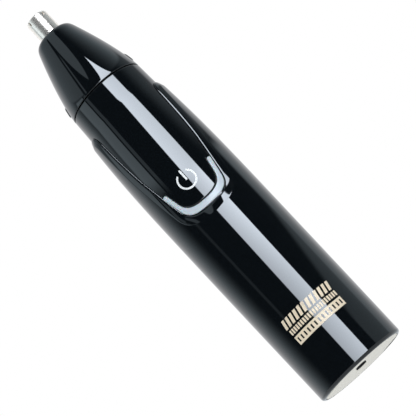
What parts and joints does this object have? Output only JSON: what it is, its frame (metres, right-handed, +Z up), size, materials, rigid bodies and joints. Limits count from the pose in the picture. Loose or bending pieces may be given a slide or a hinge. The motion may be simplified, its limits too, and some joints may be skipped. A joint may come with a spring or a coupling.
{
  "type": "nose hair trimmer",
  "caption": "Slim standing battery nose hair trimmer with a gloss black barrel, a lit U-shaped power tongue and a conical pull-off head that carries a rotary tube cutter.",
  "frame": {"origin": "middle of the flat end cap that the trimmer stands on", "axes": "+Z up along the barrel towards the cutter, -Y out of the front where the power tongue is, +X to the right of the front"},
  "size_m": [0.0308, 0.0308, 0.1456],
  "materials": {
    "gloss_black": "piano black, polished moulded plastic",
    "ice_light": "translucent blue-white light guide",
    "steel": "polished stainless steel",
    "silver_satin": "warm silver satin",
    "black_plastic": "moulded, fine texture",
    "white_plastic": "moulded acetal",
    "rubber": "matt black seal",
    "brass": "plain",
    "copper": "copper, plain",
    "ferrite": "sintered ferrite",
    "board_green": "solder mask",
    "battery_wrap": "shrink sleeve",
    "lead_red": "wire insulation",
    "lead_black": "wire insulation"
  },
  "bodies": {
    "barrel": {"outer_sleeve": "gloss_black", "core_barrel": "gloss_black", "light_ring": "ice_light", "motor_can": "steel", "mount_screw_1": "steel", "mount_screw_2": "steel", "socket_shell": "steel", "end_cap": "silver_satin", "chassis_tray": "black_plastic", "motor_mount": "black_plastic", "tact_switch": "black_plastic", "socket_tongue": "black_plastic", "motor_end_bell": "white_plastic", "ring_led_1": "white_plastic", "ring_led_2": "white_plastic", "head_gasket": "rubber", "shaft_seal": "rubber", "end_cap_gasket": "rubber", "battery_contact_top": "brass", "battery_contact_foot": "brass", "front_bushing": "brass", "rear_bushing": "brass", "motor_brush_1": "copper", "motor_brush_2": "copper", "motor_magnet_1": "ferrite", "motor_magnet_2": "ferrite", "circuit_board": "board_green", "charge_board": "board_green", "battery_cell": "battery_wrap", "charge_lead_red": "lead_red", "motor_lead_red": "lead_red", "battery_lead_red": "lead_red", "charge_lead_black": "lead_black", "motor_lead_black": "lead_black", "battery_lead_black": "lead_black"},
    "button": {"power_tongue": "gloss_black"},
    "plunger": {"switch_plunger": "black_plastic"},
    "rotor": {"motor_shaft": "steel", "armature": "copper", "commutator": "copper", "drive_coupler": "white_plastic"},
    "head": {"head_cone": "gloss_black", "head_insert": "black_plastic", "outer_cutter": "steel"},
    "cutter": {"inner_cutter": "steel", "cutter_shaft": "white_plastic", "cutter_spring": "steel"}
  },
  "joints": [
    {"name": "head_pull", "type": "slide", "parent": "barrel", "child": "head", "axis": [0, 0, 1], "range_m": [0, 0.045]},
    {"name": "rotor_spin", "type": "hinge", "parent": "barrel", "child": "rotor", "pos_m": [0, 0, 0.1], "axis": [0, 0, 1], "continuous": true},
    {"name": "cutter_spin", "type": "hinge", "parent": "head", "child": "cutter", "pos_m": [0, 0, 0.13], "axis": [0, 0, 1], "continuous": true},
    {"name": "button_press", "type": "hinge", "parent": "barrel", "child": "button", "pos_m": [0, -0.0136, 0.0845], "axis": [1, 0, 0], "range_deg": [0, 1.2], "stiffness_Nm_per_rad": 1.2},
    {"name": "plunger_press", "type": "slide", "parent": "barrel", "child": "plunger", "axis": [0, 1, 0], "range_m": [0, 0.0003]}
  ],
  "couplings": [
    {"joint": "cutter_spin", "follows": "rotor_spin", "ratio": 1},
    {"joint": "plunger_press", "follows": "button_press", "m_per_rad": 0.013}
  ]
}
